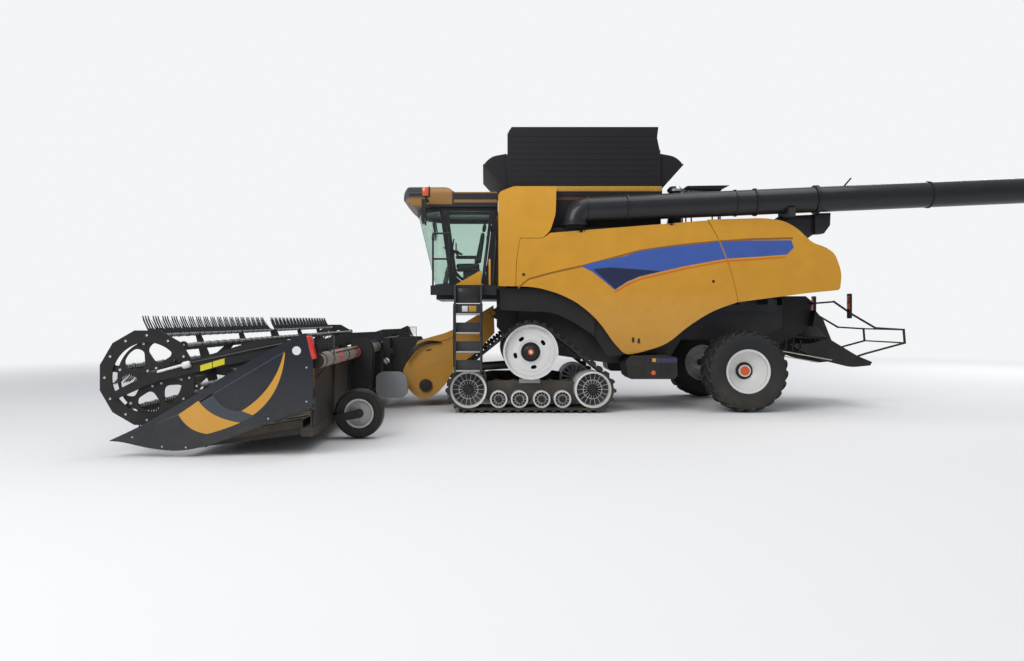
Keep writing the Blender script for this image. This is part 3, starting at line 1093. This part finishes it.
# Ladder, platform and rails: folded steel plate painted dark grey, bare at the
# step edges where boots wear it, with bent tube rails and a yellow kick plate.
FIRST_STEP_Z, STEP_RISE, STEP_COUNT = 0.727, 0.326, 4
STEP_Z = [FIRST_STEP_Z + STEP_RISE * i for i in range(STEP_COUNT)]
PLATE_BACK, PLATE_FACE = 1.7715, 1.7735
PLATE_LOW, PLATE_HIGH = 1.765, 1.865
DECK_TOP = 2.2302
RIB_PITCH, RIB_WIDTH, RIB_HEIGHT = 0.055, 0.010, 0.0043
LADDER_PLATES = (
    # name, rear edge, front edge, finish
    ("ladder_plate_pale", 1.10, 1.20, wheel_paint),
    ("ladder_plate_yellow", 0.95, 1.08, panel_yellow),
)
ladder_slate = finish("ladder_slate", (0.035, 0.042, 0.052), 0.45, dust=0.3, dust_high=1.8)
step_edge = finish("step_edge", (0.42, 0.42, 0.40), 0.45, dust=0.4, metallic=0.5)
rail_black = finish("rail_black", (0.011, 0.012, 0.013), 0.38, dust=0.12, dust_high=2.6, coat=0.2)
dress(ladder_slate, "ladder")
dress(rail_black, "platform")
step_edges = [block((0.89, 1.893, z), (1.30, 1.9, z + 0.03), 0.003) for z in STEP_Z]
step_edges += [block((0.90 + 0.05 * j, 1.80, z + 0.027), (0.912 + 0.05 * j, 1.885, z + 0.032), 0.001)
               for z in STEP_Z for j in range(8)]
settle("step_edges", step_edges, "root", "bare_steel", step_edge)
ladder_top = [block((0.888, 1.766, 1.912), (1.302, 1.772, 2.168), 0.003),
              block((0.93, 1.772, 2.02), (1.26, 1.776, 2.03), 0.001)]
settle("ladder_top", ladder_top, "root", "black_plastic", rail_black)
for name, x0, x1, colour in LADDER_PLATES:
    blank = block((x0, PLATE_BACK, PLATE_LOW), (x1, PLATE_FACE, PLATE_HIGH), 0.001)
    settle(name, blank, "root", "yellow_paint", colour)
ladder_rails = [bent([(x, 1.82, 0.82), (x, 1.93, 0.86), (x, 1.93, 1.86), (x, 1.82, 1.90)], 0.012)
                for x in (0.852, 1.338)]
ladder_rails += [bent([(x + 0.06, 1.50, 2.235), (x, 1.50, 3.02), (x, 1.36, 3.10)], 0.016)
                 for x in (0.60, 0.76)]
settle("ladder_rails", ladder_rails, "root", "dark_paint", rail_black)
kick_plate = plate(((1.335, 2.234), (0.888, 2.486), (0.868, 2.476), (0.868, 2.234)), 1.5902, 1.5925)
settle("kick_plate", kick_plate, "root", "yellow_paint", panel_yellow)
deck_ribs = [block((x, 1.02, DECK_TOP), (x + RIB_WIDTH, 1.57, DECK_TOP + RIB_HEIGHT), 0.001)
             for x in [0.63 + RIB_PITCH * i for i in range(20)]]
settle_pair("deck_ribs", deck_ribs, "root", "dark_paint", ladder_slate)
cab_pipe = block((0.70, 1.50, 2.235), (0.735, 1.52, 2.70), 0.008)
settle("cab_pipe", cab_pipe, "root", "yellow_paint", panel_yellow)

# Grain tank and its covers: pressed sheet in black, the covers stiffened by
# shallow ribs, with a yellow band and a red-brown band along the tank's rim.
TANK_SIDE = 1.1302
SIDE_COVERS = ("cover_left", "cover_right")
tank_black = finish("tank_black", (0.009, 0.0085, 0.0095), 0.5, dust=0.06, dust_high=4.5,
                    grain=(1.0, 60.0, 0.3), relief=0.0016)
band_yellow = finish("band_yellow", (0.50, 0.27, 0.03), 0.45, dust_high=4.2)
band_brown = finish("band_brown", (0.10, 0.045, 0.032), 0.5, dust=0.3, dust_high=4.2)
dress(tank_black, "grain_tank", "cover_left", "cover_right", "cover_front", "cover_rear")
rim_band = block((-2.415, 1.1502, 3.958), (0.285, 1.1525, 4.05), 0.001)
settle_pair("rim_band", rim_band, "root", "yellow_paint", band_yellow)
low_band = block((-2.39, TANK_SIDE, 3.80), (0.285, TANK_SIDE + 0.0023, 3.95), 0.001)
settle_pair("low_band", low_band, "root", "dark_paint", band_brown)
cover_ribs = [plate(((-2.34, z), (0.335, z), (0.325, z + 0.018), (-2.33, z + 0.018)), TANK_SIDE,
                    TANK_SIDE + 0.0043) for z in [4.12 + 0.105 * i for i in range(9)]]
settle_pair("cover_ribs", cover_ribs, SIDE_COVERS, "dark_paint", tank_black)
edge_seals = [plate(outline, 1.104, 1.128, 0.003) for outline in (
    ((0.370, 4.07), (0.392, 4.07), (0.392, 5.03), (0.370, 5.01)),
    ((-2.392, 4.07), (-2.370, 4.07), (-2.370, 4.70), (-2.392, 4.72)))]
settle_pair("cover_seals", edge_seals, SIDE_COVERS, "rubber", hub_black)
tank_ribs = [block((x, TANK_SIDE, 3.33), (x + 0.045, 1.15, 3.80)) for x in (-2.3, -1.5, -0.2)]
settle_pair("tank_ribs", tank_ribs, "root", "dark_paint", tank_black)
rim_bolts = bolts([(-2.3 + 0.26 * i, 1.153, 3.975) for i in range(10)], 0.011, 0.008)
settle_pair("rim_bolts", rim_bolts, "root", "bare_steel", spoke_paint)

# The unloading tube is rolled steel, painted black, in two lengths that fold on a
# bolted hinge. Its rings have bolts, a camera stick stands on it, and when folded
# it lies on a bracket on the tail.
TUBE_FOOT = Vector((-0.8, 1.4, 3.58))
TUBE_LEAN = math.radians(2.5)
TUBE_AXIS = Vector((-math.cos(TUBE_LEAN), 0, math.sin(TUBE_LEAN)))
RING_INNER = 0.221
NUT_RING_FROM = 0.225
tube_black = finish("tube_black", (0.010, 0.011, 0.014), 0.4, dust=0.08, dust_high=4.2, coat=0.25,
                    grain=(1.2, 60.0, 0.25))
spout_rubber = finish("spout_rubber", (0.016, 0.016, 0.017), 0.75, dust=0.3, dust_high=4.2,
                      grain=(5.0, 90.0, 0.4))
dress(tube_black, "turret", "unload_tube", "unload_outer")
dress(spout_rubber, "spout")
TUBE_RINGS = (
    # name, distance along the tube, radius, width, body
    ("tube_ring_front", 0.92, 0.247, 0.03, "tube"),
    ("tube_ring_middle", 3.2, 0.247, 0.03, "tube"),
    ("tube_ring_outer", 6.3, 0.24, 0.025, "tube_outer"),
)
for name, along, radius, width, body in TUBE_RINGS:
    centre = TUBE_FOOT + TUBE_AXIS * along
    ring = sleeve(RING_INNER, radius, 0, width, centre, TUBE_AXIS, 56)
    ring_nuts = hex_nuts(16, (radius + NUT_RING_FROM) / 2, 0.009, 0.012,
                         centre - TUBE_AXIS * 0.001, -TUBE_AXIS)
    settle(name, [ring, ring_nuts], body, "dark_paint", tube_black)
stick = bent([(-5.60, 1.4, 4.0), (-5.73, 1.4, 4.15)], 0.014)
settle("camera_stick", stick, "tube_outer", "black_plastic", moulded_black)
tube_rest = [plate(((-5.12, 3.535), (-5.40, 3.545), (-5.39, 3.32), (-5.28, 3.17), (-5.12, 3.16)),
                   1.16, 1.34, 0.01),
             plate(((-4.42, 3.44), (-4.50, 3.49), (-5.14, 3.52), (-5.14, 3.18), (-4.95, 3.05), (-4.62, 3.32)),
                   1.22, 1.28, 0.008)]
settle("tube_rest", tube_rest, "root", "dark_paint", tube_black)

# Engine deck: the rotary dust screen of fine mesh, the air intake under its cap
# and a shade plate, the silencer's end, and a rail round the deck.
SCREEN_AT = (-3.5, -0.5, 3.482)
deck_grey = finish("deck_grey", (0.028, 0.029, 0.032), 0.5, dust=0.35, dust_high=3.8)
silver_bright = finish("silver_bright", (0.62, 0.62, 0.60), 0.25, dust=0.2, dust_high=4.0, metallic=1.0)
dress(deck_grey, "engine_deck")
screen = [turned(((0, 0.0), (0.36, 0.0), (0.40, -0.012), (0.43, -0.012), (0.436, 0.012), (0.40, 0.02),
                  (0.10, 0.022), (0.09, 0.03), (0, 0.03)), SCREEN_AT, UP, 56)]
screen += [turned(((radius, 0.018), (radius + 0.006, 0.024), (radius + 0.012, 0.018)), SCREEN_AT, UP)
           for radius in [0.12 + 0.06 * i for i in range(5)]]
settle("dust_screen", screen, "root", "dark_paint", hub_black)
intake = turned(((0, 0), (0.13, 0), (0.13, 0.50), (0.16, 0.51), (0.16, 0.60), (0.12, 0.64), (0, 0.65)),
                (-2.72, 0.86, 3.32), UP, 40)
settle("air_intake", intake, "root", "black_plastic", moulded_black)
intake_bowl = turned(((0, 0), (0.10, 0), (0.14, 0.03), (0.145, 0.07), (0.10, 0.12), (0, 0.13)),
                     (-2.72, 0.86, 3.965), UP, 40)
settle("intake_bowl", intake_bowl, "root", "bare_steel", silver_bright)
silencer = bent([(-3.05, -0.95, 3.36), (-3.05, -0.95, 3.72), (-3.25, -0.95, 3.86)], 0.07, 0.12, 6)
settle("silencer", silencer, "root", "bare_steel", silver_bright)
RAIL_Y = -1.3
deck_rail = [bent([(-2.55, RAIL_Y, 3.33), (-2.55, RAIL_Y, 3.86), (-4.2, RAIL_Y, 3.95), (-4.2, RAIL_Y, 3.42)],
                  0.016, 0.1),
             bent([(-3.4, RAIL_Y, 3.38), (-3.4, RAIL_Y, 3.90)], 0.014)]
settle("deck_rail", deck_rail, "root", "dark_paint", rail_black)
shade = [plate(((-2.91, 4.085), (-3.70, 4.095), (-3.56, 4.03), (-3.53, 3.99), (-2.94, 4.035)),
               0.50, 1.00, 0.008)]
shade += [bent([(x, y, 3.35), (x, y, 4.05)], 0.014) for x in (-3.0, -3.5) for y in (0.55, 0.95)]
settle("intake_shade", shade, "root", "dark_paint", tube_black)

# Behind the wheels: the tail's lamps in their shells, the ribbed chopper cover
# and two bare steel stay rods on each side of it.
rear_black = finish("rear_black", (0.011, 0.011, 0.012), 0.45, dust=0.12, dust_high=2.2)
lamp_red = finish("lamp_red", (0.5, 0.015, 0.01), 0.2, dust=0.15, coat=0.8, grain=(25.0, 300.0, 0.15))
dress(rear_black, "chopper")
lamp_shells = block((-6.012, 0.742, 1.66), (-5.958, 0.748, 2.10), 0.002)
settle_pair("rear_lamp_shells", lamp_shells, "root", "dark_paint", rear_black)
for name, z0, z1, colour in (("rear_lenses", 1.95, 2.07, lamp_red),
                             ("rear_turn_lenses", 1.82, 1.93, signal_orange)):
    settle_pair(name, block((-6.006, 0.756, z0), (-5.954, 0.862, z1), 0.008), "root", "lamp_lens", colour)
chopper_ribs = [plate(((x, z), (x - 0.02, z), (x + 0.02, z - 0.34), (x + 0.04, z - 0.34)), 0.79, 0.80)
                for x, z in [(-4.42 - 0.13 * i, 1.36 - 0.022 * i) for i in range(6)]]
settle_pair("chopper_ribs", chopper_ribs, "root", "dark_paint", rear_black)
stay_rods = [bent([(-4.62, 0.88, 1.06), (-5.62, 0.88, 0.88)], 0.012),
             bent([(-4.55, 0.90, 0.98), (-5.35, 0.90, 0.84)], 0.009)]
settle_pair("stay_rods", stay_rods, "root", "bare_steel", silver_bright)
